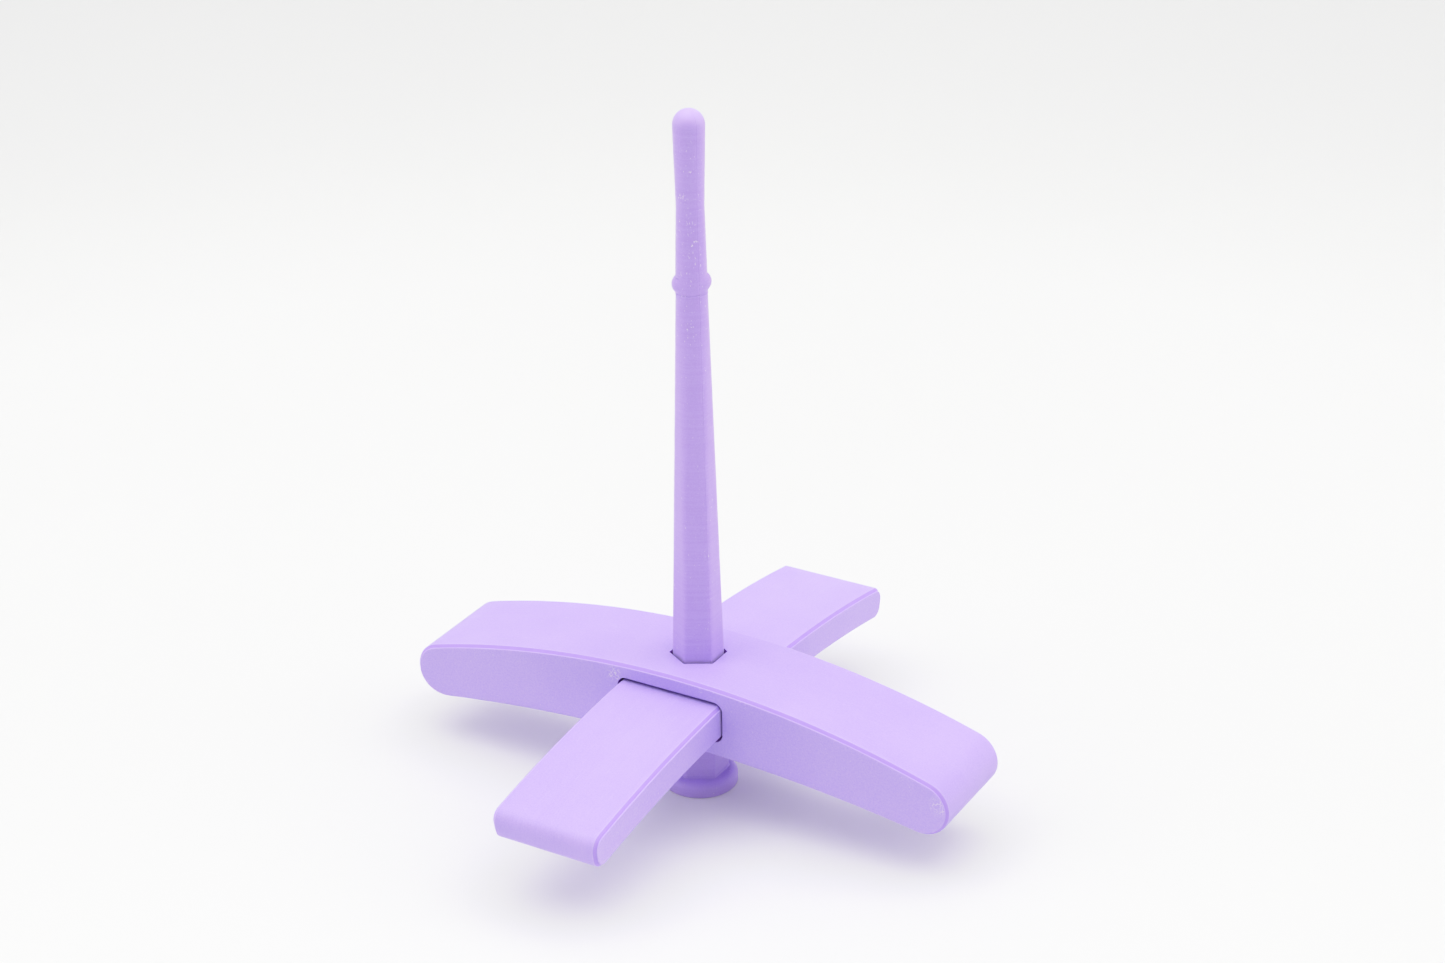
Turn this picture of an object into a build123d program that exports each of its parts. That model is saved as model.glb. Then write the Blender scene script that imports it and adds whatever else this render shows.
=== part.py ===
"""Turkish drop spindle: a tapering six-sided shaft and two arched cross arms.

The frame has its origin at the centre of the foot's flat underside. +Z runs up the shaft, the
outer arm lies along X and the inner arm lies along Y. All sizes are in millimetres.
"""

import os
from math import atan, cos, radians, sin, sqrt

from build123d import *

# Foot: the round disc that stops the arms and that the spindle stands on.
FOOT_RADIUS = 8.1
FOOT_HEIGHT = 3.5
FOOT_TOP_ROUNDING = 1.6
FOOT_BOTTOM_ROUNDING = 0.4

# Shank: a tapering hexagon whose corners grow rounder with height, until it is nearly a circle.
# Radii run from the axis to a rounded corner, and flats face along X.
SHANK_BASE_RADIUS = 6.18
SHANK_TOP_RADIUS = 3.25
SHANK_TOP_HEIGHT = 113.8
SHANK_BASE_ROUNDING = 0.6
SHANK_TOP_ROUNDING = 3.13

# Stem: the round neck above the shank. It narrows to its waist and widens to a domed tip.
STEM_BASE_RADIUS = 3.32
WAIST_RADIUS = 2.86
WAIST_HEIGHT = 132.4
TIP_RADIUS = 3.28
TOTAL_HEIGHT = 152.4

# Knobs: a tilted egg-shaped bead through the stem. Its two ends stand out as knobs, which keep the
# yarn's hitch from slipping down.
KNOB_HEIGHT = 116.0
KNOB_REACH = 4.06
KNOB_THICKNESS = 5.9
KNOB_TILT = 8.5
KNOB_LOW_SIDE = 210.0

# Outer arm: thick in the middle and thinner at its round ends.
OUTER_LENGTH = 130.0
OUTER_WIDTH = 24.5
OUTER_TOP_HEIGHT = 31.7
OUTER_THICKNESS = 16.35
OUTER_TOP_ARC = 213.7
OUTER_BOTTOM_ARC = 362.0
OUTER_END_ROUNDING = 6.35

# Inner arm: an even bar that passes through the outer arm's slot.
INNER_LENGTH = 122.9
INNER_WIDTH = 24.75
INNER_TOP_HEIGHT = 27.8
INNER_THICKNESS = 7.7
INNER_TOP_ARC = 320.0
INNER_BOTTOM_ARC = 325.0
INNER_END_ROUNDING = 3.0

# Both arms: the bevel round each side face, and the slot and holes that fit them together.
SIDE_BEVEL = 0.85
SLOT_SIDE_GAP = 0.27
SLOT_TOP_HEIGHT = 28.2
SLOT_BOTTOM_HEIGHT = 18.9
SLOT_CORNER = 2.0
SHANK_GAP = 0.06
HOLE_CORNER_ROUNDING = 0.3
CUT_MARGIN = 2.0

COS_30 = cos(radians(30))


def shank_section(height):
    """(Distance from the axis to a flat, corner rounding) of the shank at a height."""
    share = (height - FOOT_HEIGHT) / (SHANK_TOP_HEIGHT - FOOT_HEIGHT)
    corner_radius = SHANK_BASE_RADIUS + share * (SHANK_TOP_RADIUS - SHANK_BASE_RADIUS)
    rounding = SHANK_BASE_ROUNDING + share * (SHANK_TOP_ROUNDING - SHANK_BASE_ROUNDING)
    return (corner_radius - rounding) * COS_30 + rounding, rounding


def hexagon(flat_radius, rounding):
    """Hexagon with softened corners, in the XY plane, with two flats facing along X."""
    outline = RegularPolygon(flat_radius / COS_30, 6, rotation=30)
    return fillet(outline.vertices(), rounding)


def make_shaft():
    """Foot, shank, knobs and stem, which are one printed piece."""
    foot = extrude(Circle(FOOT_RADIUS), FOOT_HEIGHT)
    rims = foot.edges().filter_by(GeomType.CIRCLE).sort_by(Axis.Z)
    foot = fillet(rims[-1], FOOT_TOP_ROUNDING)
    rims = foot.edges().filter_by(GeomType.CIRCLE).sort_by(Axis.Z)
    foot = fillet(rims[0], FOOT_BOTTOM_ROUNDING)

    root = FOOT_HEIGHT / 2
    lower = Pos(0, 0, root) * hexagon(*shank_section(root))
    upper = Pos(0, 0, SHANK_TOP_HEIGHT) * hexagon(*shank_section(SHANK_TOP_HEIGHT))
    shank = loft([lower.face(), upper.face()], ruled=True)

    return foot + shank + make_stem() + make_knobs()


def make_stem():
    """Waisted neck turned about Z, closed by the hemispherical tip."""
    tip_centre = TOTAL_HEIGHT - TIP_RADIUS
    neck = Polyline(
        (0, 0, TOTAL_HEIGHT),
        (0, 0, SHANK_TOP_HEIGHT),
        (STEM_BASE_RADIUS, 0, SHANK_TOP_HEIGHT),
        (WAIST_RADIUS, 0, WAIST_HEIGHT),
        (TIP_RADIUS, 0, tip_centre),
    )
    diagonal = TIP_RADIUS * sqrt(0.5)
    dome = ThreePointArc(
        (TIP_RADIUS, 0, tip_centre),
        (diagonal, 0, tip_centre + diagonal),
        (0, 0, TOTAL_HEIGHT),
    )
    return revolve(make_face([neck, dome]), Axis.Z)


def make_knobs():
    """Bead turned about its long axis, which dips towards KNOB_LOW_SIDE."""
    half_outline = EllipticalCenterArc((0, 0), KNOB_REACH, KNOB_THICKNESS / 2, 0, arc_size=180)
    bead = revolve(make_face([half_outline, Line(half_outline @ 1, half_outline @ 0)]), Axis.X)
    return Pos(0, 0, KNOB_HEIGHT) * Rot(0, 0, KNOB_LOW_SIDE) * Rot(0, KNOB_TILT, 0) * bead


def arch_outline(reach, top_height, bottom_height, top_arc, bottom_arc, end_rounding):
    """Side view of an arched bar in the XZ plane: two arcs closed by rounded, leaning ends."""

    def on_arc(apex_height, arc_radius, x):
        return Vector(x, 0, apex_height - arc_radius + sqrt(arc_radius**2 - x**2))

    def tangent(arc_radius, x):
        return Vector(1, 0, -x / sqrt(arc_radius**2 - x**2))

    # The end leans, square to the middle of the bar there.
    lean = atan(reach * (1 / top_arc + 1 / bottom_arc) / 2)
    upward = Vector(sin(lean), 0, cos(lean))
    outward = Vector(cos(lean), 0, -sin(lean))
    top_tip = on_arc(top_height, top_arc, reach)
    bottom_tip = on_arc(bottom_height, bottom_arc, reach)
    half_end = (top_tip - bottom_tip).length / 2 * cos(lean)

    # Its rounding is tangent to the overall length.
    flat_half = half_end - end_rounding
    end_x = reach - end_rounding * (1 - cos(lean)) - flat_half * sin(lean)
    end_middle = Vector(end_x, 0, (top_tip.Z + bottom_tip.Z) / 2)
    face_top = end_middle + upward * flat_half
    face_bottom = end_middle - upward * flat_half
    top_end = on_arc(top_height, top_arc, (face_top - outward * end_rounding).X)
    bottom_end = on_arc(bottom_height, bottom_arc, (face_bottom - outward * end_rounding).X)

    end = [
        TangentArc(top_end, face_top, tangent=tangent(top_arc, top_end.X)),
        Line(face_top, face_bottom),
        TangentArc(bottom_end, face_bottom, tangent=tangent(bottom_arc, bottom_end.X)),
    ]
    other_end = [mirror(curve, Plane.YZ) for curve in end]
    top = ThreePointArc(other_end[0] @ 0, (0, 0, top_height), top_end)
    bottom = ThreePointArc(other_end[2] @ 0, (0, 0, bottom_height), bottom_end)
    return make_face([top, *end, bottom, *other_end])


def arched_bar(length, width, top_height, thickness, top_arc, bottom_arc, end_rounding):
    """Arched bar along X, with a bevel round both of its side faces."""
    bottom_height = top_height - thickness
    full = arch_outline(length / 2, top_height, bottom_height, top_arc, bottom_arc, end_rounding)
    inset = arch_outline(
        length / 2 - SIDE_BEVEL,
        top_height - SIDE_BEVEL,
        bottom_height + SIDE_BEVEL,
        top_arc - SIDE_BEVEL,
        bottom_arc + SIDE_BEVEL,
        end_rounding - SIDE_BEVEL,
    )
    straight = width / 2 - SIDE_BEVEL
    middle = extrude(full, straight, both=True, dir=(0, 1, 0))
    bevel_start = Pos(0, straight, 0) * full
    bevel_end = Pos(0, width / 2, 0) * inset
    bevel = loft([bevel_start.face(), bevel_end.face()], ruled=True)
    return middle + bevel + mirror(bevel, Plane.XZ)


def shaft_hole(bottom_height, top_height):
    """Six-sided cutter that clears the shank by SHANK_GAP where the taper jams in the hole."""
    flat_radius, _ = shank_section(bottom_height)
    outline = hexagon(flat_radius + SHANK_GAP, HOLE_CORNER_ROUNDING)
    start = bottom_height - CUT_MARGIN
    return Pos(0, 0, start) * extrude(outline, top_height + CUT_MARGIN - start)


def make_outer_arm():
    """Wide arm along X, with the slot for the inner arm and the hole for the shaft."""
    bar = arched_bar(
        OUTER_LENGTH,
        OUTER_WIDTH,
        OUTER_TOP_HEIGHT,
        OUTER_THICKNESS,
        OUTER_TOP_ARC,
        OUTER_BOTTOM_ARC,
        OUTER_END_ROUNDING,
    )
    slot_width = INNER_WIDTH + 2 * SLOT_SIDE_GAP
    slot_height = SLOT_TOP_HEIGHT - SLOT_BOTTOM_HEIGHT
    opening = Plane.XZ * RectangleRounded(slot_width, slot_height, SLOT_CORNER)
    slot_middle = (SLOT_TOP_HEIGHT + SLOT_BOTTOM_HEIGHT) / 2
    slot = Pos(0, 0, slot_middle) * extrude(opening, OUTER_WIDTH, both=True)
    hole = shaft_hole(OUTER_TOP_HEIGHT - OUTER_THICKNESS, OUTER_TOP_HEIGHT)
    return bar - slot - hole


def make_inner_arm():
    """Thin arm along Y, with the same hole for the shaft."""
    bar = arched_bar(
        INNER_LENGTH,
        INNER_WIDTH,
        INNER_TOP_HEIGHT,
        INNER_THICKNESS,
        INNER_TOP_ARC,
        INNER_BOTTOM_ARC,
        INNER_END_ROUNDING,
    )
    hole = shaft_hole(INNER_TOP_HEIGHT - INNER_THICKNESS, INNER_TOP_HEIGHT)
    return Rot(0, 0, 90) * bar - hole


def write_parts():
    """One STEP file for each printed piece."""
    pieces = {
        "shaft": make_shaft(),
        "outer_arm": make_outer_arm(),
        "inner_arm": make_inner_arm(),
    }
    os.makedirs("parts", exist_ok=True)
    for name, piece in pieces.items():
        piece.label = name
        export_step(piece, f"parts/{name}.step")


write_parts()
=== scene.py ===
"""Looks of a 3-D printed Turkish drop spindle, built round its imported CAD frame.

Three printed pieces are made as meshes of stacked print layers: the shaft, whose layers lie level,
and the two cross arms, which were printed lying on one side face. All sizes are in metres.
"""

import math

import bmesh
import bpy
import numpy as np
from mathutils import Matrix, Vector

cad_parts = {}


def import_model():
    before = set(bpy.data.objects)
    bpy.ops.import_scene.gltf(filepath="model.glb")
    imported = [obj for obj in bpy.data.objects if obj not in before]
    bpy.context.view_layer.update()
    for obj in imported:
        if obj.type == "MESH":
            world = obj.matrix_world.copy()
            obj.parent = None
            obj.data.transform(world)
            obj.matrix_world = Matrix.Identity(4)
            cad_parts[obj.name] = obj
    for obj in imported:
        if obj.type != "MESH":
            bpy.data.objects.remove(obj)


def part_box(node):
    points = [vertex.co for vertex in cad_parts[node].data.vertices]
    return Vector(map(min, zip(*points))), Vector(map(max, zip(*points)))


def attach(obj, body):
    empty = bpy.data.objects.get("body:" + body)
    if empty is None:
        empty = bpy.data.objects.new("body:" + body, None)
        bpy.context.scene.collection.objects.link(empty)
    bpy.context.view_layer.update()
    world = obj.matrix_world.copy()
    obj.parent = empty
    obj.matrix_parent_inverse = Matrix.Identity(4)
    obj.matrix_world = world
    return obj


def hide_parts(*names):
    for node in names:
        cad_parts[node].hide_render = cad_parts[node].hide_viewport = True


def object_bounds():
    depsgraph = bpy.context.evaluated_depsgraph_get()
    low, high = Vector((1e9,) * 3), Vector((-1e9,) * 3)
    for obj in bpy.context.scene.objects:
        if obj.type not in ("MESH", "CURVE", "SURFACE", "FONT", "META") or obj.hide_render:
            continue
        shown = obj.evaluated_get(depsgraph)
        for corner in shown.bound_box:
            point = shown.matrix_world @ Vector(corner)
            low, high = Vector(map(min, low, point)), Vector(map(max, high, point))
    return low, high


MM = 0.001
SMOOTH_ANGLE = 38.0
COS_30 = math.cos(math.radians(30))

# How the pieces were printed
LAYER = 0.25 * MM
GROOVE = 0.022 * MM
LAYER_WANDER = 0.006 * MM
BEAD = 0.42 * MM
TOP_BEAD_GROOVE = 0.03 * MM
BED_BEAD_GROOVE = 0.006 * MM
PERIMETERS = 3

# Arms. Their holes and slot are drawn up to 0.1 mm wider on each side than in the CAD, so that the
# gaps show dark.
SIDE_BEVEL = 0.85 * MM
OUTER_THICKNESS = 16.35 * MM
OUTER_TOP_ARC = 213.7 * MM
OUTER_BOTTOM_ARC = 362.0 * MM
OUTER_END_ROUNDING = 6.35 * MM
INNER_THICKNESS = 7.7 * MM
INNER_TOP_ARC = 320.0 * MM
INNER_BOTTOM_ARC = 325.0 * MM
INNER_END_ROUNDING = 3.0 * MM
SLOT_SIDE_GAP = 0.34 * MM
SLOT_TOP_HEIGHT = 28.3 * MM
SLOT_BOTTOM_HEIGHT = 18.9 * MM
SLOT_CORNER = 2.0 * MM
SHANK_GAP = 0.13 * MM
HOLE_CORNER_ROUNDING = 0.16 * MM

# Rim of a side face that lay on the print bed, as (inset from the outline, depth from the face):
# a plain bevel that ends in the rounded lip of the first layer, which was pressed outwards.
BED_RIM = [
    (0.85 * MM, 0.0),
    (0.76 * MM, 0.012 * MM),
    (0.68 * MM, 0.045 * MM),
    (0.62 * MM, 0.10 * MM),
    (0.59 * MM, 0.17 * MM),
    (0.60 * MM, 0.24 * MM),
    (0.64 * MM, 0.29 * MM),
    (0.60 * MM, 0.34 * MM),
    (0.46 * MM, 0.45 * MM),
    (0.30 * MM, 0.58 * MM),
    (0.14 * MM, 0.73 * MM),
    (0.04 * MM, 0.83 * MM),
    (0.0, 0.93 * MM),
]

# The same for the slot's softer rim on the bed face
SLOT_RIM = [
    (0.10 * MM, 0.0),
    (0.03 * MM, 0.03 * MM),
    (0.0, 0.12 * MM),
]

# Shaft
FOOT_HEIGHT = 3.5 * MM
FOOT_TOP_ROUNDING = 1.6 * MM
FOOT_BOTTOM_ROUNDING = 0.4 * MM
FOOT_FILLET = 0.35 * MM
SHANK_BASE_RADIUS = 6.18 * MM
SHANK_TOP_RADIUS = 3.25 * MM
SHANK_TOP_HEIGHT = 113.8 * MM
SHANK_BASE_ROUNDING = 0.6 * MM
SHANK_TOP_ROUNDING = 3.13 * MM
STEM_BASE_RADIUS = 3.32 * MM
WAIST_RADIUS = 2.86 * MM
WAIST_HEIGHT = 132.4 * MM
TIP_RADIUS = 3.28 * MM
KNOB_HEIGHT = 116.0 * MM
KNOB_REACH = 4.06 * MM
KNOB_HALF_THICKNESS = 2.95 * MM
KNOB_TILT = 8.5
KNOB_LOW_SIDE = 210.0
KNOB_BLEND = 0.1 * MM
NECK_GROOVE = 0.1 * MM
NECK_GROOVE_HEIGHT = 114.2 * MM
SEAM_ANGLE = -30.0
SEAM_HEIGHT = 0.09 * MM
SEAM_NOTCH = 0.06 * MM
# One small pit above the lower knob
PIT_ANGLE = 243.0
PIT_HEIGHT = 117.4 * MM
PIT_DEPTH = 0.45 * MM
# Rough spots of the neck, as (angle, height, spread along it), where the shaft shook while it was
# printed, and how rough the whole shaft is by height
ROUGH_SPOTS = [
    (-72.0, 141.0 * MM, 1.2 * MM),
    (-92.0, 134.0 * MM, 2.4 * MM),
    (-70.0, 130.0 * MM, 1.4 * MM),
    (-66.0, 124.5 * MM, 2.6 * MM),
    (-70.0, 106.5 * MM, 3.0 * MM),
]
ROUGH_HEIGHTS = [30 * MM, 104 * MM, 108 * MM, 113 * MM, 119 * MM, 144 * MM, 149 * MM]
ROUGHNESS = [0.0, 0.05, 0.3, 0.1, 0.4, 0.3, 0.0]

# How strongly the print layers show as streaks of tone, and where the outer arm's bed face is
# scuffed, as (x, z, radius, strength) in millimetres
ARM_STREAKS = 0.25
SHAFT_STREAKS = 0.9
OUTER_SCUFFS = [
    (-13.6, 28.6, 2.4, 0.9),
    (63.0, 18.6, 2.6, 0.8),
    (7.5, 30.2, 0.8, 0.6),
    (18.3, 29.6, 0.7, 0.6),
]

# Camera and studio
CAMERA_AZIMUTH = 30.26
CAMERA_ELEVATION = 25.81
CAMERA_ROLL = -0.813
CAMERA_TARGET = Vector((-9.26, 27.05, 58.09)) * MM
CAMERA_DISTANCE = 646.2 * MM
CAMERA_LENS = 74.23
SENSOR_WIDTH = 36.0
FLOOR_FRONT = 3.0
FLOOR_HALF_WIDTH = 3.5
SWEEP_START = 0.36
SWEEP_RADIUS = 0.3
# Painted light: the paper glows round the object, fading out over GLOW_FADE; painted shadow: the glow is
# weaker right round the foot.
PAPER_GLOW = 0.15
GLOW_FADE = (0.30, 0.62)
UNDER_FOOT_SHADOW = 0.5
UNDER_FOOT_SHADOW_FADE = (0.012, 0.03)
SWEEP_TURN = 2.0
TENT_FRONT = -62.0
TENT_FADE_START = 0.1
TENT_FADE_END = 0.85
TENT_BRIGHT = 1.72
TENT_DIM = 0.3
SOFTBOX_SIZE = (1.6, 1.6)
SOFTBOX_POWER = 8.25
SOFTBOX_OFFSET = Vector((0, 0, 1.2))

# Tone curve as (scene brightness, shown brightness): highlights roll off softly before white.
TONE_RANGE = 2.0
TONE_CURVE = [
    (0.45, 0.45),
    (0.6, 0.594),
    (0.75, 0.722),
    (0.9, 0.82),
    (1.05, 0.888),
    (1.15, 0.946),
    (1.25, 0.985),
    (1.33, 1.0),
]


# ---------------------------------------------------------------- mesh helpers


def mesh_object(name, vertices, faces):
    """Object of the given vertices and faces, smooth but for edges sharper than SMOOTH_ANGLE."""
    mesh = bpy.data.meshes.new(name)
    mesh.from_pydata(np.asarray(vertices).tolist(), [], faces)
    mesh.validate()
    mesh.shade_smooth()
    mesh.set_sharp_from_angle(angle=math.radians(SMOOTH_ANGLE))
    piece = bpy.data.objects.new(name, mesh)
    bpy.context.scene.collection.objects.link(piece)
    return piece


def tube_faces(rings, points, start=0, flip=False):
    """Quads that join consecutive closed rings of equally many points."""
    faces = []
    for ring in range(rings - 1):
        low = start + ring * points
        high = low + points
        for i in range(points):
            j = (i + 1) % points
            quad = (low + i, low + j, high + j, high + i)
            faces.append(quad[::-1] if flip else quad)
    return faces


def smooth_noise(count, step, seed):
    """Gentle random wander of a value over count layers, from about -1 to 1."""
    knots = np.random.default_rng(seed).uniform(-1, 1, int(count / step) + 3)
    return np.interp(np.arange(count) / step, np.arange(len(knots)), knots)


def layer_wander(count, seed):
    """How far each print layer stands out: fine scatter, slow drift and a few proud layers."""
    source = np.random.default_rng(seed)
    fine = source.normal(0, 0.45, count)
    drift = smooth_noise(count, 9, seed + 1)
    proud = (source.random(count) < 0.06) * source.uniform(-2.0, 1.0, count)
    return np.clip(fine + drift + proud, -2.5, 1.2) * LAYER_WANDER


# ---------------------------------------------------------------- arms


class ArchOutline:
    """Side view of an arched bar: two arcs closed by rounded, leaning ends."""

    def __init__(self, reach, top, thickness, top_arc, bottom_arc, rounding):
        lean = math.atan(reach * (1 / top_arc + 1 / bottom_arc) / 2)
        outward = np.array([math.cos(lean), -math.sin(lean)])
        top_centre = np.array([0.0, top - top_arc])
        bottom_centre = np.array([0.0, top - thickness - bottom_arc])
        top_end = math.asin((reach - rounding) / (top_arc - rounding))
        corner = (top_arc - rounding) * np.array([math.sin(top_end), math.cos(top_end)])
        top_corner = top_centre + corner
        beyond = (top_corner - bottom_centre) @ outward
        bottom_end = lean + math.asin(beyond / (bottom_arc + rounding))
        corner = (bottom_arc + rounding) * np.array([math.sin(bottom_end), math.cos(bottom_end)])
        bottom_corner = bottom_centre + corner

        def arc(centre, radius, start, stop, count, inward=False):
            """Points and outward normals of an arc; angles are measured from +Z towards +X."""
            angle = np.linspace(start, stop, count)
            ray = np.stack([np.sin(angle), np.cos(angle)], 1)
            return centre + radius * ray, -ray if inward else ray

        quarter = math.pi / 2
        parts = [
            arc(top_centre, top_arc, 0, top_end, 48),
            arc(top_corner, rounding, top_end, quarter + lean, 14),
            arc(bottom_corner, rounding, quarter + lean, math.pi + bottom_end, 14),
            arc(bottom_centre, bottom_arc, bottom_end, 0, 44, inward=True),
        ]
        right = np.concatenate([points for points, _ in parts])
        right_normals = np.concatenate([normals for _, normals in parts])
        keep = np.ones(len(right), bool)
        keep[1:] = np.linalg.norm(np.diff(right, axis=0), axis=1) > 0.01 * MM
        right, right_normals = right[keep], right_normals[keep]
        mirror_x = np.array([-1, 1])
        left = right[-2:0:-1] * mirror_x
        self.points = np.concatenate([right, left])
        self.normals = np.concatenate([right_normals, right_normals[-2:0:-1] * mirror_x])


class SlotOutline:
    """Rounded rectangle of the slot. Its normals point out of the material, into the slot."""

    def __init__(self, half_width, bottom, top, corner):
        points, normals = [], []
        corners = [
            (half_width - corner, top - corner, 0),
            (half_width - corner, bottom + corner, 1),
            (corner - half_width, bottom + corner, 2),
            (corner - half_width, top - corner, 3),
        ]
        for x, z, turn in corners:
            for angle in np.linspace(0, math.pi / 2, 10) + turn * math.pi / 2:
                ray = np.array([math.sin(angle), math.cos(angle)])
                points.append(np.array([x, z]) + corner * ray)
                normals.append(-ray)
        self.points, self.normals = np.array(points), np.array(normals)


def bead_stations(perimeters, first_inset, groove):
    """Insets and depths over the perimeter beads of a side face, from its rim inwards."""
    stations = []
    for bead in range(perimeters):
        start = first_inset + bead * BEAD
        stations.append((start + 0.22 * BEAD, 0.0))
        stations.append((start + 0.78 * BEAD, 0.0))
        stations.append((start + BEAD, groove))
    return stations


def layer_stations(width, rim, top_bevel, seed):
    """(inset, distance from the bed face) across a bar's layers, from bed face to top face."""
    count = round(width / LAYER)
    wander = layer_wander(count, seed)
    rim_depth = rim[-1][1]
    stations = list(rim)
    for layer in range(count):
        for share, dip in ((0.0, GROOVE), (0.5, 0.0)):
            depth = (layer + share) * LAYER
            if depth <= rim_depth or depth >= width:
                continue
            bevel = max(0.0, top_bevel - (width - depth))
            stations.append((bevel + dip - (wander[layer] if share else 0.0), depth))
    stations.append((top_bevel, width))
    return stations


def bar_tube(outline, stations, y_start):
    """Stack of copies of an outline, one for each (inset, distance along Y)."""
    rings = []
    for inset, depth in stations:
        flat = outline.points - inset * outline.normals
        y = np.full((len(flat), 1), y_start + depth)
        rings.append(np.hstack([flat[:, :1], y, flat[:, 1:]]))
    return np.concatenate(rings)


def printed_bar(name, outline, width, slot=None, seed=1):
    """Closed mesh of a bar printed on its -Y side, layer by layer along +Y."""
    y_start = -width / 2
    bed = bead_stations(PERIMETERS, SIDE_BEVEL, BED_BEAD_GROOVE)
    top = [(i, width - d) for i, d in bead_stations(PERIMETERS, SIDE_BEVEL, TOP_BEAD_GROOVE)]
    walls = layer_stations(width, BED_RIM, SIDE_BEVEL, seed)
    stations = bed[::-1] + walls + top
    points = len(outline.points)
    vertices = bar_tube(outline, stations, y_start)
    faces = tube_faces(len(stations), points)
    ends = [range(points), range((len(stations) - 1) * points, len(stations) * points)]
    if slot is not None:
        bed = bead_stations(PERIMETERS - 1, SLOT_RIM[0][0], BED_BEAD_GROOVE)
        top = [(i, width - d) for i, d in bead_stations(PERIMETERS - 1, 0.0, TOP_BEAD_GROOVE)]
        stations = bed[::-1] + layer_stations(width, SLOT_RIM, 0.0, seed + 5) + top
        start = len(vertices)
        points = len(slot.points)
        vertices = np.concatenate([vertices, bar_tube(slot, stations, y_start)])
        faces += tube_faces(len(stations), points, start, flip=True)
        ends += [range(start, start + points), range(len(vertices) - points, len(vertices))]
    piece = mesh_object(name, vertices, faces)
    fill_ends(piece, ends)
    return piece


def fill_ends(piece, loops):
    """Closes a bar's two side faces, each bounded by its outline's loop and its slot's loop."""
    mesh = bmesh.new()
    mesh.from_mesh(piece.data)
    mesh.verts.ensure_lookup_table()
    for side in range(2):
        edges = []
        for loop in loops[side::2]:
            ring = [mesh.verts[i] for i in loop]
            edges += [mesh.edges.get((a, b)) for a, b in zip(ring, ring[1:] + ring[:1])]
        outward = Vector((0, 1 if side else -1, 0))
        bmesh.ops.triangle_fill(mesh, edges=edges, use_beauty=True, normal=outward)
    for face in mesh.faces:
        face.smooth = True
    bmesh.ops.recalc_face_normals(mesh, faces=mesh.faces)
    mesh.to_mesh(piece.data)
    mesh.free()


def rounded_hexagon(flat_radius, rounding, per_corner=5):
    """Outline points of a hexagon with softened corners and two flats facing along X."""
    points = []
    for side in range(6):
        corner = math.radians(30 + 60 * side)
        reach = (flat_radius - rounding) / COS_30
        for turn in np.linspace(-30, 30, per_corner):
            ray = corner + math.radians(turn)
            x = reach * math.cos(corner) + rounding * math.cos(ray)
            y = reach * math.sin(corner) + rounding * math.sin(ray)
            points.append((x, y))
    return np.array(points)


def shank_section(height):
    """(Distance from the axis to a flat, corner rounding) of the shaft's shank at a height."""
    share = (height - FOOT_HEIGHT) / (SHANK_TOP_HEIGHT - FOOT_HEIGHT)
    corner_radius = SHANK_BASE_RADIUS + share * (SHANK_TOP_RADIUS - SHANK_BASE_RADIUS)
    rounding = SHANK_BASE_ROUNDING + share * (SHANK_TOP_ROUNDING - SHANK_BASE_ROUNDING)
    return (corner_radius - rounding) * COS_30 + rounding, rounding


def cut_shaft_hole(piece, bottom, top):
    """Cuts the six-sided shaft hole through an arm, clear of the shank by SHANK_GAP."""
    ring = rounded_hexagon(shank_section(bottom)[0] + SHANK_GAP, HOLE_CORNER_ROUNDING)
    low = np.hstack([ring, np.full((len(ring), 1), bottom - 3 * MM)])
    high = np.hstack([ring, np.full((len(ring), 1), top + 3 * MM)])
    faces = tube_faces(2, len(ring)) + [tuple(range(len(ring)))[::-1]]
    faces.append(tuple(range(len(ring), 2 * len(ring))))
    cutter = mesh_object(piece.name + "_cutter", np.concatenate([low, high]), faces)
    cut = piece.modifiers.new("shaft_hole", "BOOLEAN")
    cut.operation = "DIFFERENCE"
    cut.solver = "EXACT"
    cut.object = cutter
    apply_modifiers(piece)
    bpy.data.objects.remove(cutter)


def apply_modifiers(piece):
    """Replaces a piece's mesh by what its modifiers make of it."""
    graph = bpy.context.evaluated_depsgraph_get()
    made = bpy.data.meshes.new_from_object(piece.evaluated_get(graph))
    piece.modifiers.clear()
    piece.data = made
    made.shade_smooth()
    made.set_sharp_from_angle(angle=math.radians(SMOOTH_ANGLE))


# ---------------------------------------------------------------- shaft

# Angles of the shaft's mesh columns from each hexagon corner, closest together at the corner.
COLUMN_OFFSETS = [-30, -22, -14, -7, -3, -1.3, 0, 1.3, 3, 7, 14, 22]
COLUMNS = np.radians([30 + 60 * k + o for k in range(6) for o in COLUMN_OFFSETS])


def nearest_column(degrees):
    """Index of the mesh column that lies closest to an angle."""
    return int(np.argmax(np.cos(COLUMNS - math.radians(degrees))))


def hexagon_radius(flat_radius, rounding):
    """Radius of a hexagon with softened corners at each mesh column."""
    reach = (flat_radius - rounding) / COS_30
    off = np.abs(COLUMNS % (math.pi / 3) - math.pi / 6)
    on_flat = flat_radius / np.cos(math.pi / 6 - off)
    chord = np.maximum(rounding**2 - (reach * np.sin(off)) ** 2, 0)
    on_corner = reach * np.cos(off) + np.sqrt(chord)
    tangent = math.atan2(rounding / 2, reach + rounding * COS_30)
    return np.where(off < tangent, on_corner, on_flat)


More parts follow.
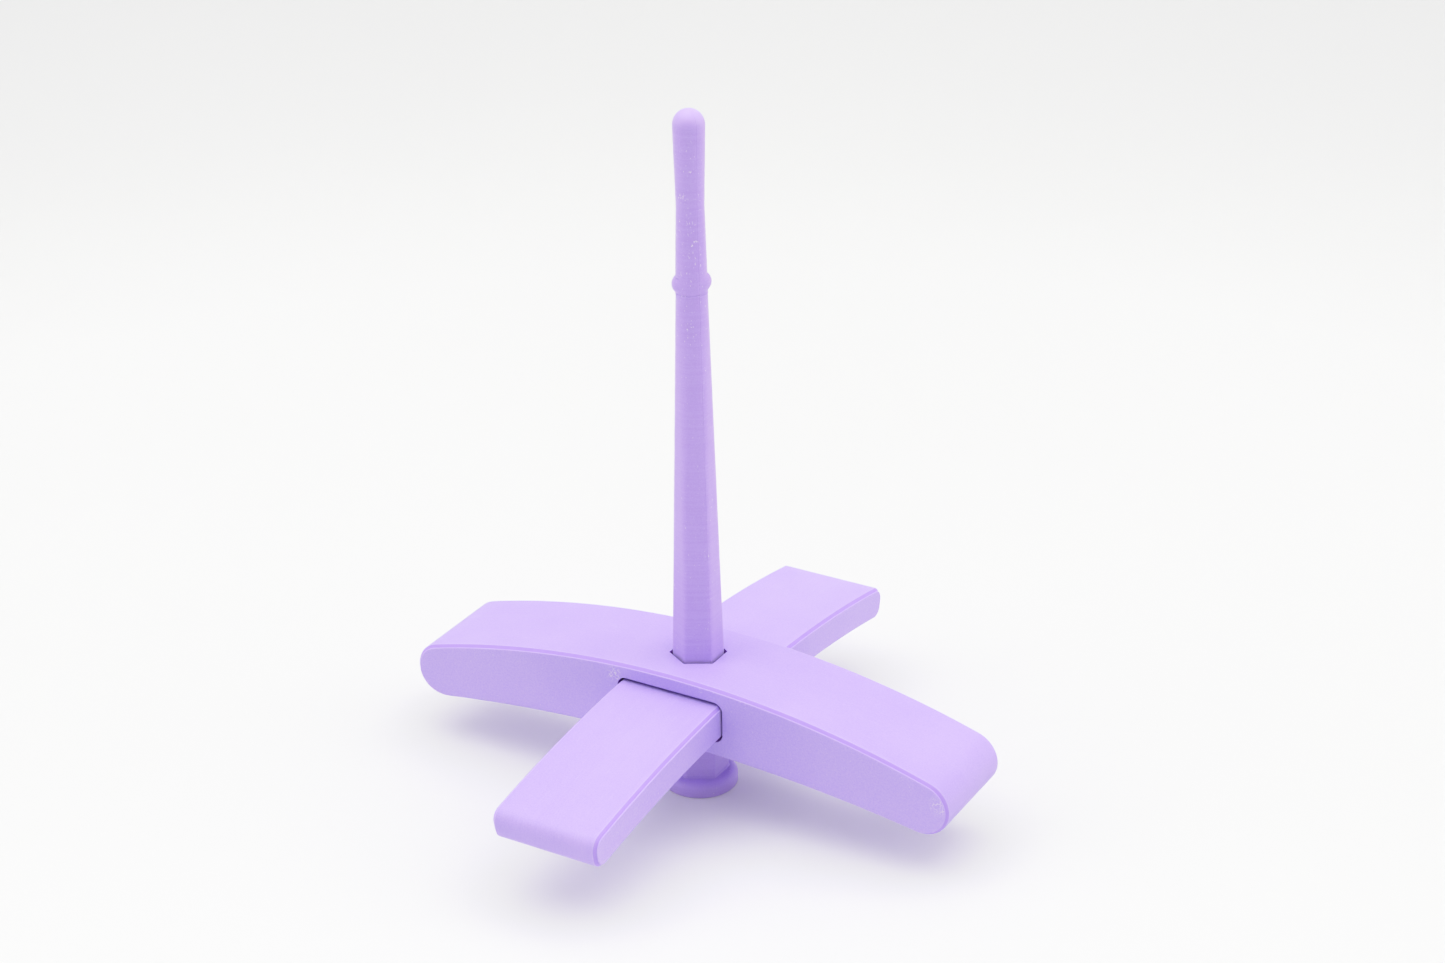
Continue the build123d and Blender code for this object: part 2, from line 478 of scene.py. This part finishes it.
def knob_radius(height):
    """Radius of the tilted egg-shaped bead at each mesh column, or 0 where it isn't there."""
    rise = height - KNOB_HEIGHT
    along = np.cos(COLUMNS - math.radians(KNOB_LOW_SIDE)) * math.cos(math.radians(KNOB_TILT))
    drop = rise * math.sin(math.radians(KNOB_TILT))
    narrow = 1 / KNOB_HALF_THICKNESS**2
    stretch = 1 / KNOB_REACH**2 - narrow
    # The bead's surface is where a * radius^2 - 2 * b * radius + c = 0.
    a = stretch * along**2 + narrow
    b = stretch * along * drop
    c = stretch * drop**2 + narrow * rise**2 - 1
    inside = b**2 - a * c
    return np.where(inside > 0, (b + np.sqrt(np.maximum(inside, 0))) / a, 0)


def shaft_radius(height, total):
    """Radius of the shaft's skin at each mesh column, above the foot."""
    tip_centre = total - TIP_RADIUS
    if height > tip_centre:
        rise = min(height - tip_centre, TIP_RADIUS)
        return np.full(len(COLUMNS), math.sqrt(max(TIP_RADIUS**2 - rise**2, 0)))
    if height > SHANK_TOP_HEIGHT:
        heights = (SHANK_TOP_HEIGHT, WAIST_HEIGHT, tip_centre)
        radii = (STEM_BASE_RADIUS, WAIST_RADIUS, TIP_RADIUS)
        skin = np.full(len(COLUMNS), np.interp(height, heights, radii))
    else:
        skin = hexagon_radius(*shank_section(height))
    if abs(height - NECK_GROOVE_HEIGHT) < 0.6 * LAYER:
        skin = skin - NECK_GROOVE
    knob = knob_radius(height)
    gap = np.clip(0.5 + 0.5 * (knob - skin) / KNOB_BLEND, 0, 1)
    return skin * (1 - gap) + knob * gap + KNOB_BLEND * gap * (1 - gap)


def foot_stations(radius):
    """(height, radius) of the foot's rings, from the middle of its underside to its top's rim."""
    flat = radius - FOOT_BOTTOM_ROUNDING
    stations = []
    for bead in range(int(flat / BEAD)):
        outer = flat - bead * BEAD
        stations.append((0.0, outer - 0.2 * BEAD))
        stations.append((0.0, outer - 0.8 * BEAD))
        stations.append((BED_BEAD_GROOVE, outer - BEAD))
    stations = [station for station in stations[::-1] if station[1] > 0.3 * MM]
    layers = round(FOOT_HEIGHT / LAYER)
    wander = layer_wander(layers, 41)
    for layer in range(layers):
        for share, dip in ((0.0, GROOVE), (0.5, -wander[layer])):
            height = (layer + share) * LAYER
            rounding, past = FOOT_BOTTOM_ROUNDING, FOOT_BOTTOM_ROUNDING - height
            if height > FOOT_HEIGHT - FOOT_TOP_ROUNDING:
                rounding, past = FOOT_TOP_ROUNDING, height - FOOT_HEIGHT + FOOT_TOP_ROUNDING
            curve = rounding - math.sqrt(rounding**2 - max(past, 0) ** 2)
            stations.append((height, radius - curve - dip))
    return stations


def shaft_roughness(height):
    """How rough the shaft is at each mesh column, from 0 to 1: its slim neck is roughest."""
    rough = np.full(len(COLUMNS), np.interp(height, ROUGH_HEIGHTS, ROUGHNESS))
    for angle, middle, spread in ROUGH_SPOTS:
        away = 1 - np.cos(COLUMNS - math.radians(angle))
        rough += np.exp(-away / 0.1 - ((height - middle) / spread) ** 2)
    return np.clip(rough, 0, 1)


def make_shaft_print(low, high):
    """The shaft, printed upright: foot, tapering hexagon, tilted bead, waisted neck and dome."""
    rings, heights = [], []

    def add(height, radii):
        heights.append(height)
        rings.append(np.broadcast_to(radii, (len(COLUMNS),)))

    for height, radius in foot_stations(high.x):
        add(height, radius)
    # Top of the foot: beads laid round and round, then a small fillet up into the shank.
    shank_foot = hexagon_radius(*shank_section(FOOT_HEIGHT))
    rim = high.x - FOOT_TOP_ROUNDING
    for share in np.linspace(0, 1, 9):
        inner = shank_foot + FOOT_FILLET
        groove = TOP_BEAD_GROOVE * (1 if round(share * 8) % 2 == 0 and 0 < share < 1 else 0)
        add(FOOT_HEIGHT - groove, rim + (inner - rim) * share)
    add(FOOT_HEIGHT + 0.1 * MM, shank_foot + 0.45 * FOOT_FILLET)

    first = round(FOOT_HEIGHT / LAYER) + 1
    count = round(high.z / LAYER)
    wander = layer_wander(count + 1, 71)
    grain = np.random.default_rng(72)
    seam = nearest_column(SEAM_ANGLE)
    pit_column = nearest_column(PIT_ANGLE)
    for layer in range(first, count):
        bottom, middle = layer * LAYER, (layer + 0.5) * LAYER
        fillet = FOOT_FILLET * max(0.0, 1 - (bottom - FOOT_HEIGHT) / (2 * FOOT_FILLET)) ** 2
        add(bottom, shaft_radius(bottom, high.z) + fillet - GROOVE)
        radii = shaft_radius(middle, high.z) + fillet + wander[layer]
        scatter = (0.0025 + 0.02 * shaft_roughness(middle)) * MM
        radii = radii + scatter * grain.normal(0, 1, len(COLUMNS))
        radii[seam] += SEAM_HEIGHT * grain.uniform(0.3, 1.2)
        radii[seam - 1] -= SEAM_NOTCH * grain.uniform(0.4, 1.0)
        if abs(middle - PIT_HEIGHT) < 0.6 * LAYER:
            radii[pit_column] -= PIT_DEPTH
        add(middle, np.maximum(radii, 0.2 * MM))

    rough = np.array([shaft_roughness(height) for height in heights])
    radii, z = np.array(rings), np.array(heights)[:, None]
    x, y = radii * np.cos(COLUMNS), radii * np.sin(COLUMNS)
    vertices = np.stack([x, y, np.broadcast_to(z, x.shape)], 2).reshape(-1, 3)
    faces = tube_faces(len(rings), len(COLUMNS))
    faces.append(tuple(range(len(COLUMNS)))[::-1])
    faces.append(tuple(range(len(vertices) - len(COLUMNS), len(vertices))))
    piece = mesh_object("shaft_print", vertices + np.array([0, 0, low.z]), faces)
    attribute = piece.data.attributes.new("rough", "FLOAT", "POINT")
    attribute.data.foreach_set("value", rough.ravel())
    dome_start = high.z - TIP_RADIUS
    piece.data.materials.append(wall_plastic("shaft_wall", 2, SHAFT_STREAKS, dome_start=dome_start))
    return piece


# ---------------------------------------------------------------- materials


class Nodes:
    """Short calls for wiring one material's shader nodes."""

    def __init__(self, name):
        self.material = bpy.data.materials.new(name)
        self.material.use_nodes = True
        self.tree = self.material.node_tree
        self.shader = self.tree.nodes["Principled BSDF"]
        self.where = self.tree.nodes.new("ShaderNodeTexCoord").outputs["Object"]

    def link(self, source, socket):
        if isinstance(source, bpy.types.NodeSocket):
            self.tree.links.new(source, socket)
        else:
            socket.default_value = source

    def math(self, operation, a, b=0.0, clamp=False):
        node = self.tree.nodes.new("ShaderNodeMath")
        node.operation = operation
        node.use_clamp = clamp
        self.link(a, node.inputs[0])
        self.link(b, node.inputs[1])
        return node.outputs[0]

    def stretched(self, scale):
        """Object coordinates scaled by a different amount along each axis."""
        node = self.tree.nodes.new("ShaderNodeVectorMath")
        node.operation = "MULTIPLY"
        self.link(self.where, node.inputs[0])
        node.inputs[1].default_value = scale
        return node.outputs[0]

    def noise(self, vector, scale, detail=2.0, roughness=0.5):
        node = self.tree.nodes.new("ShaderNodeTexNoise")
        node.inputs["Scale"].default_value = scale
        node.inputs["Detail"].default_value = detail
        node.inputs["Roughness"].default_value = roughness
        self.link(vector, node.inputs["Vector"])
        return node.outputs["Fac"]

    def remap(self, value, low, high, new_low=0.0, new_high=1.0):
        node = self.tree.nodes.new("ShaderNodeMapRange")
        self.link(value, node.inputs["Value"])
        ends = {"From Min": low, "From Max": high, "To Min": new_low, "To Max": new_high}
        for socket, number in ends.items():
            node.inputs[socket].default_value = number
        return node.outputs["Result"]

    def mix(self, share, a, b):
        node = self.tree.nodes.new("ShaderNodeMix")
        node.data_type = "RGBA"
        self.link(share, node.inputs["Factor"])
        for socket, colour in ((node.inputs[6], a), (node.inputs[7], b)):
            self.link(colour if isinstance(colour, bpy.types.NodeSocket) else (*colour, 1.0), socket)
        return node.outputs[2]

    def bump(self, height, distance, strength=1.0, below=None):
        node = self.tree.nodes.new("ShaderNodeBump")
        node.inputs["Distance"].default_value = distance
        node.inputs["Strength"].default_value = strength
        self.link(height, node.inputs["Height"])
        if below is not None:
            self.link(below, node.inputs["Normal"])
        return node.outputs["Normal"]


LAVENDER = (0.553, 0.414, 0.935)
LAVENDER_DEEP = (0.505, 0.374, 0.90)
# Painted shade on the arms' bevels and painted light on the lips of their first layers.
BEVEL_PAINTED_SHADE = (0.485, 0.325, 0.915)
LIP_PAINTED_LIGHT = (0.572, 0.44, 0.945)
# Pale flecks of the plastic; also the painted highlight along the arms' bevel edges.
PALE_FLECK_AND_HIGHLIGHT = (0.64, 0.53, 0.95)
BED_GREY = (0.575, 0.445, 0.92)
SCUFF = (0.80, 0.74, 0.93)
# Painted shade inside the slot and the shaft hole.
OPENING_PAINTED_SHADE = (0.36, 0.16, 0.60)
SHAFT_LAVENDER = (0.54, 0.385, 0.875)
SHAFT_DEEP = (0.505, 0.345, 0.84)
# Painted light on the shaft's dome.
DOME_PAINTED_LIGHT = (0.585, 0.43, 0.94)
FLECK_WHITE = (0.93, 0.90, 0.97)


def plastic_base(nodes, roughness):
    """The satin, slightly translucent plastic that every piece is printed in."""
    shader = nodes.shader
    shader.inputs["IOR"].default_value = 1.46
    shader.inputs["Specular IOR Level"].default_value = 0.5
    shader.inputs["Subsurface Weight"].default_value = 0.12
    shader.inputs["Subsurface Radius"].default_value = (0.0012, 0.0009, 0.0016)
    shader.inputs["Subsurface Scale"].default_value = 1.0
    nodes.link(roughness, shader.inputs["Roughness"])


def wall_plastic(name, layer_axis, contrast, bevel_start=None, dome_start=None):
    """Printed wall: colour and gloss change a little from layer to layer and along each layer.

    An arm's wall has painted light and shade on its bevels: a thin painted highlight where the wall
    meets the bevel, painted shade on the bevel from bevel_start outwards and painted light on the
    first layer's lip. The shaft's has pale specks where it is rough, and painted light on its dome,
    from dome_start up.
    """
    upright = bevel_start is None
    pair = (SHAFT_DEEP, SHAFT_LAVENDER) if upright else (LAVENDER_DEEP, LAVENDER)
    nodes = Nodes(name)
    across = [18.0, 18.0, 18.0]
    across[layer_axis] = 1400.0
    streaks = nodes.noise(nodes.stretched(across), 1.0, detail=3.0)
    along = [320.0, 320.0, 320.0]
    along[layer_axis] = 4000.0
    flecks = nodes.noise(nodes.stretched(along), 1.0, detail=2.0)
    clouds = nodes.noise(nodes.where, 60.0, detail=2.0)
    grit = nodes.noise(nodes.where, 3000.0, detail=2.0)
    tone = nodes.math("MULTIPLY", nodes.math("SUBTRACT", streaks, 0.5), contrast)
    tone = nodes.math("ADD", tone, nodes.math("MULTIPLY", nodes.math("SUBTRACT", clouds, 0.5), 0.5))
    tone = nodes.math("ADD", tone, nodes.math("MULTIPLY", nodes.math("SUBTRACT", grit, 0.5), 0.7))
    colour = nodes.mix(nodes.remap(tone, -0.14, 0.14), *pair)
    pale = nodes.remap(flecks, 0.64, 0.82, 0.0, 0.5)
    colour = nodes.mix(pale, colour, PALE_FLECK_AND_HIGHLIGHT)
    split = nodes.tree.nodes.new("ShaderNodeSeparateXYZ")
    nodes.link(nodes.where, split.inputs[0])
    if upright:
        rough = nodes.tree.nodes.new("ShaderNodeAttribute")
        rough.attribute_name = "rough"
        specks = nodes.noise(nodes.stretched((3000.0, 3000.0, 1600.0)), 1.0, detail=1.0)
        specks = nodes.math("ADD", specks, nodes.math("MULTIPLY", rough.outputs["Fac"], 0.09))
        colour = nodes.mix(nodes.remap(specks, 0.72, 0.80, 0.0, 0.6), colour, FLECK_WHITE)
        # Painted light: the dome paler from just below dome_start up.
        dome = nodes.remap(split.outputs[2], dome_start - 0.5 * MM, dome_start + 2 * MM)
        colour = nodes.mix(dome, colour, DOME_PAINTED_LIGHT)
        nodes.shader.inputs["Sheen Weight"].default_value = 0.3
        nodes.shader.inputs["Sheen Roughness"].default_value = 0.4
    else:
        off_middle = nodes.math("ABSOLUTE", split.outputs[layer_axis])
        # Painted highlight: a thin pale line along the edge where the wall meets the bevel.
        edge = nodes.remap(off_middle, bevel_start - 0.16 * MM, bevel_start - 0.10 * MM, 0.0, 0.45)
        colour = nodes.mix(edge, colour, PALE_FLECK_AND_HIGHLIGHT)
        # Painted shade: the bevel darker and more saturated.
        bevel = nodes.remap(off_middle, bevel_start + 0.03 * MM, bevel_start + 0.09 * MM)
        colour = nodes.mix(bevel, colour, BEVEL_PAINTED_SHADE)
        # Painted light: the first layer's lip lighter.
        lip_light = nodes.remap(off_middle, bevel_start + 0.56 * MM, bevel_start + 0.66 * MM)
        colour = nodes.mix(lip_light, colour, LIP_PAINTED_LIGHT)
    nodes.link(colour, nodes.shader.inputs["Base Color"])
    plastic_base(nodes, nodes.remap(streaks, 0.3, 0.7, 0.36, 0.50))
    ripple = nodes.bump(streaks, 0.012 * MM * contrast)
    normal = nodes.bump(flecks, 0.012 * MM, below=ripple)
    nodes.link(nodes.bump(grit, 0.006 * MM, below=normal), nodes.shader.inputs["Normal"])
    return nodes.material


def bed_plastic(name, scuffs=()):
    """Side face that was pressed on the print bed: fine speckle, and pale strands in its scuffs."""
    nodes = Nodes(name)
    grit = nodes.noise(nodes.where, 2600.0, detail=2.0, roughness=0.6)
    coarse = nodes.noise(nodes.where, 1100.0, detail=2.0)
    clouds = nodes.noise(nodes.where, 45.0, detail=2.0)
    specks = nodes.noise(nodes.where, 1500.0, detail=3.0, roughness=0.65)
    tone = nodes.math("ADD", nodes.math("MULTIPLY", grit, 0.7), nodes.math("MULTIPLY", clouds, 0.3))
    colour = nodes.mix(nodes.remap(tone, 0.36, 0.64), LAVENDER_DEEP, BED_GREY)
    colour = nodes.mix(nodes.remap(specks, 0.66, 0.80, 0.0, 0.7), colour, SCUFF)
    height = nodes.math("MULTIPLY", coarse, 0.6)
    strands = scuff_strands(nodes, scuffs)
    if strands is not None:
        colour = nodes.mix(strands, colour, SCUFF)
        height = nodes.math("ADD", height, strands)
    nodes.link(colour, nodes.shader.inputs["Base Color"])
    plastic_base(nodes, nodes.remap(coarse, 0.3, 0.7, 0.45, 0.60))
    low = nodes.bump(height, 0.035 * MM)
    nodes.link(nodes.bump(grit, 0.022 * MM, below=low), nodes.shader.inputs["Normal"])
    return nodes.material


def scuff_strands(nodes, scuffs):
    """Mask of fine tangled strands within each scuff, given as (centre, radius, strength)."""
    total = None
    for centre, radius, strength in scuffs:
        offset = nodes.tree.nodes.new("ShaderNodeVectorMath")
        offset.operation = "DISTANCE"
        nodes.link(nodes.where, offset.inputs[0])
        offset.inputs[1].default_value = centre
        near = nodes.remap(offset.outputs["Value"], radius, 0.35 * radius)
        curls = nodes.noise(nodes.where, 900.0, detail=2.0)
        line = nodes.math("ABSOLUTE", nodes.math("SUBTRACT", curls, 0.5))
        strand = nodes.math("MULTIPLY", nodes.remap(line, 0.035, 0.008, 0.0, strength), near)
        total = strand if total is None else nodes.math("MAXIMUM", total, strand)
    return total


def top_plastic(name, layer_axis):
    """Side face that was printed last: straight diagonal beads laid side by side."""
    nodes = Nodes(name)
    split = nodes.tree.nodes.new("ShaderNodeSeparateXYZ")
    nodes.link(nodes.where, split.inputs[0])
    sideways = split.outputs[0 if layer_axis == 1 else 1]
    across = nodes.math("ADD", sideways, split.outputs[2])
    diagonal = nodes.math("MULTIPLY", across, math.sqrt(0.5) / BEAD)
    phase = nodes.math("FRACT", diagonal)
    profile = nodes.math("SINE", nodes.math("MULTIPLY", phase, math.pi))
    wander = nodes.noise(nodes.where, 90.0, detail=2.0)
    flecks = nodes.noise(nodes.where, 2500.0, detail=2.0)
    tone = nodes.math("ADD", nodes.math("MULTIPLY", flecks, 0.5), nodes.math("MULTIPLY", wander, 0.5))
    colour = nodes.mix(nodes.remap(tone, 0.36, 0.64), LAVENDER_DEEP, LAVENDER)
    nodes.link(colour, nodes.shader.inputs["Base Color"])
    plastic_base(nodes, nodes.remap(wander, 0.3, 0.7, 0.36, 0.50))
    ridges = nodes.bump(nodes.math("POWER", profile, 0.5), TOP_BEAD_GROOVE)
    nodes.link(nodes.bump(flecks, 0.012 * MM, below=ridges), nodes.shader.inputs["Normal"])
    return nodes.material


def opening_shade_plastic(name):
    """Wall of a slot or a hole: rough and dull, and much darker than the plastic as painted shade."""
    nodes = Nodes(name)
    grit = nodes.noise(nodes.where, 1800.0, detail=2.0)
    deeper = tuple(0.85 * part for part in OPENING_PAINTED_SHADE)
    colour = nodes.mix(nodes.remap(grit, 0.3, 0.7), deeper, OPENING_PAINTED_SHADE)
    nodes.link(colour, nodes.shader.inputs["Base Color"])
    plastic_base(nodes, 0.6)
    nodes.shader.inputs["Specular IOR Level"].default_value = 0.12
    nodes.link(nodes.bump(grit, 0.03 * MM), nodes.shader.inputs["Normal"])
    return nodes.material


def studio_paper():
    """Matt white paper of the floor and its sweep, with painted light: it glows near the object and
    fades out behind it, and glows less right round the foot as painted shadow.
    """
    nodes = Nodes("studio_paper")
    tone = nodes.noise(nodes.where, 3.0, detail=3.0)
    colour = nodes.mix(nodes.remap(tone, 0.3, 0.7), (0.725, 0.725, 0.72), (0.745, 0.745, 0.74))
    nodes.shader.inputs["Emission Color"].default_value = (1.0, 1.0, 1.0, 1.0)
    distance = nodes.tree.nodes.new("ShaderNodeVectorMath")
    distance.operation = "LENGTH"
    nodes.link(nodes.where, distance.inputs[0])
    glow = nodes.remap(distance.outputs["Value"], GLOW_FADE[0], GLOW_FADE[1], PAPER_GLOW, 0.0)
    # Painted shadow: less glow right round the foot.
    foot_shadow = nodes.remap(distance.outputs["Value"], UNDER_FOOT_SHADOW_FADE[0], UNDER_FOOT_SHADOW_FADE[1], UNDER_FOOT_SHADOW, 1.0)
    nodes.link(nodes.math("MULTIPLY", glow, foot_shadow), nodes.shader.inputs["Emission Strength"])
    nodes.link(colour, nodes.shader.inputs["Base Color"])
    nodes.shader.inputs["Roughness"].default_value = 0.9
    nodes.shader.inputs["Specular IOR Level"].default_value = 0.1
    return nodes.material


# ---------------------------------------------------------------- pieces


def paint_bar(piece, layer_axis, bed_side, name, scuffs=(), slot_half_width=-1.0):
    """Gives a bar's walls, bed face, last-printed face and openings their own plastics; the openings get
    painted shade.
    """
    half_width = max(abs(v.co[layer_axis]) for v in piece.data.vertices)
    bevel_start = half_width - SIDE_BEVEL
    piece.data.materials.append(wall_plastic(name + "_wall", layer_axis, ARM_STREAKS, bevel_start))
    piece.data.materials.append(bed_plastic(name + "_bed_face", scuffs))
    piece.data.materials.append(top_plastic(name + "_last_face", layer_axis))
    piece.data.materials.append(opening_shade_plastic(name + "_openings_shade"))
    for face in piece.data.polygons:
        facing = face.normal[layer_axis] * bed_side
        flat = abs(abs(face.center[layer_axis]) - half_width) < 0.05 * MM
        face.material_index = (1 if facing > 0 else 2) if flat and abs(facing) > 0.9 else 0
        # The walls of the slot and the hole get the painted shade.
        if in_opening(face, layer_axis, slot_half_width):
            face.material_index = 3


def in_opening(face, layer_axis, slot_half_width):
    """Whether a face of an arm belongs to its shaft hole or to the slot for the other arm."""
    centre, normal = face.center, face.normal
    to_axis = Vector((-centre.x, -centre.y, 0))
    if to_axis.length < 1.2 * SHANK_BASE_RADIUS and abs(normal.z) < 0.3 and to_axis.dot(normal) > 0:
        return True
    if abs(normal[layer_axis]) > 0.5 or abs(centre.x) > slot_half_width + 0.2 * MM:
        return False
    return SLOT_BOTTOM_HEIGHT - 0.2 * MM < centre.z < SLOT_TOP_HEIGHT + 0.2 * MM


def make_outer_arm_print(low, high):
    """Wide upper arm: lies along X, its bed face towards -Y, with a slot for the inner arm."""
    arcs = (OUTER_TOP_ARC, OUTER_BOTTOM_ARC)
    outline = ArchOutline(high.x, high.z, OUTER_THICKNESS, *arcs, OUTER_END_ROUNDING)
    slot_half_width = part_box("inner_arm")[1].x + SLOT_SIDE_GAP
    slot = SlotOutline(slot_half_width, SLOT_BOTTOM_HEIGHT, SLOT_TOP_HEIGHT, SLOT_CORNER)
    piece = printed_bar("outer_arm_print", outline, high.y - low.y, slot, seed=11)
    cut_shaft_hole(piece, high.z - OUTER_THICKNESS, high.z)
    scuffs = []
    for x, z, radius, strength in OUTER_SCUFFS:
        scuffs.append((Vector((x, low.y / MM, z)) * MM, radius * MM, strength))
    paint_bar(piece, 1, -1, "outer_arm", scuffs, slot_half_width)
    return piece


def make_inner_arm_print(low, high):
    """Slimmer lower arm: lies along Y through the outer arm's slot, its bed face towards +X."""
    arcs = (INNER_TOP_ARC, INNER_BOTTOM_ARC)
    outline = ArchOutline(high.y, high.z, INNER_THICKNESS, *arcs, INNER_END_ROUNDING)
    piece = printed_bar("inner_arm_print", outline, high.x - low.x, seed=23)
    # Turned before it is cut, since a six-sided hole doesn't survive a quarter turn.
    piece.data.transform(Matrix.Rotation(math.pi / 2, 4, "Z"))
    cut_shaft_hole(piece, high.z - INNER_THICKNESS, high.z)
    paint_bar(piece, 0, 1, "inner_arm")
    return piece


# ---------------------------------------------------------------- studio and camera


def make_floor(floor_height, away):
    """White paper that lies flat under the object and curves up far behind it."""
    rows = [(-FLOOR_FRONT, 0.0), (SWEEP_START, 0.0)]
    for angle in np.radians(np.arange(3, 84, 3)):
        rows.append((SWEEP_START + SWEEP_RADIUS * math.sin(angle), SWEEP_RADIUS * (1 - math.cos(angle))))
    rows.append((rows[-1][0] + 0.2, rows[-1][1] + 2.0))
    side = Vector((-away.y, away.x, 0))
    vertices = []
    for along, rise in rows:
        for edge in (-FLOOR_HALF_WIDTH, FLOOR_HALF_WIDTH):
            vertices.append(away * along + side * edge + Vector((0, 0, floor_height + rise)))
    faces = [(2 * i + 1, 2 * i, 2 * i + 2, 2 * i + 3) for i in range(len(rows) - 1)]
    floor = mesh_object("paper_floor", [tuple(v) for v in vertices], faces)
    floor.data.materials.append(studio_paper())
    return floor


def make_lights(centre):
    """Light tent: white all round, dimmer on its open front, with a large soft light overhead."""
    world = bpy.data.worlds.new("studio_world")
    world.use_nodes = True
    tree = world.node_tree
    background = tree.nodes["Background"]
    background.inputs["Color"].default_value = (1.0, 1.0, 1.0, 1.0)
    place = tree.nodes.new("ShaderNodeTexCoord")
    toward_front = tree.nodes.new("ShaderNodeVectorMath")
    toward_front.operation = "DOT_PRODUCT"
    front = math.radians(TENT_FRONT)
    toward_front.inputs[1].default_value = (math.cos(front), math.sin(front), 0)
    tree.links.new(place.outputs["Generated"], toward_front.inputs[0])
    level = tree.nodes.new("ShaderNodeMapRange")
    level.interpolation_type = "SMOOTHSTEP"
    level.inputs["From Min"].default_value = TENT_FADE_START
    level.inputs["From Max"].default_value = TENT_FADE_END
    level.inputs["To Min"].default_value = TENT_BRIGHT
    level.inputs["To Max"].default_value = TENT_DIM
    tree.links.new(toward_front.outputs["Value"], level.inputs["Value"])
    tree.links.new(level.outputs["Result"], background.inputs["Strength"])
    bpy.context.scene.world = world
    lamp = bpy.data.lights.new("overhead_softbox", "AREA")
    lamp.shape = "RECTANGLE"
    lamp.size, lamp.size_y = SOFTBOX_SIZE
    lamp.energy = SOFTBOX_POWER
    softbox = bpy.data.objects.new("overhead_softbox", lamp)
    softbox.location = centre + SOFTBOX_OFFSET
    softbox.rotation_euler = (centre - softbox.location).to_track_quat("-Z", "Y").to_euler()
    bpy.context.scene.collection.objects.link(softbox)


def make_camera(base):
    """Camera a little above the object, looking down at it from the front right."""
    azimuth, elevation, roll = map(math.radians, (CAMERA_AZIMUTH, CAMERA_ELEVATION, CAMERA_ROLL))
    right = Vector((math.cos(azimuth), math.sin(azimuth), 0))
    level_back = Vector((math.sin(azimuth), -math.cos(azimuth), 0))
    back = level_back * math.cos(elevation) + Vector((0, 0, math.sin(elevation)))
    up = back.cross(right)
    rolled_right = math.cos(roll) * right + math.sin(roll) * up
    rolled_up = math.cos(roll) * up - math.sin(roll) * right
    lens = bpy.data.cameras.new("camera")
    lens.lens = CAMERA_LENS
    lens.sensor_width = SENSOR_WIDTH
    lens.clip_start = 0.01
    lens.clip_end = 20.0
    camera = bpy.data.objects.new("camera", lens)
    turn = Matrix((rolled_right, rolled_up, back)).transposed()
    place = base + CAMERA_TARGET + back * CAMERA_DISTANCE
    camera.matrix_world = Matrix.Translation(place) @ turn.to_4x4()
    bpy.context.scene.collection.objects.link(camera)
    bpy.context.scene.camera = camera


def set_tone():
    """Plain display colours, with a photographic roll-off in the highlights."""
    view = bpy.context.scene.view_settings
    view.view_transform = "Standard"
    view.use_curve_mapping = True
    view.curve_mapping.white_level = (TONE_RANGE,) * 3
    curve = view.curve_mapping.curves[3]
    curve.points[-1].location = (1.0, 1.0)
    for scene_level, shown_level in TONE_CURVE:
        curve.points.new(scene_level / TONE_RANGE, shown_level)
    view.curve_mapping.update()


def main():
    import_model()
    cad_low, cad_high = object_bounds()
    makers = {
        "shaft": (make_shaft_print, "shaft_plastic"),
        "outer_arm": (make_outer_arm_print, "arm_plastic"),
        "inner_arm": (make_inner_arm_print, "arm_plastic"),
    }
    for node, (make, slot) in makers.items():
        piece = make(*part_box(node))
        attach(piece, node)
        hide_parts(node)

    shaft_low, shaft_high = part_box("shaft")
    base = Vector(((shaft_low.x + shaft_high.x) / 2, (shaft_low.y + shaft_high.y) / 2, shaft_low.z))
    turn = math.radians(CAMERA_AZIMUTH + SWEEP_TURN)
    make_floor(cad_low[2], Vector((-math.sin(turn), math.cos(turn), 0)))
    make_lights(base + Vector((0, 0, 0.05)))
    make_camera(base)
    set_tone()


main()
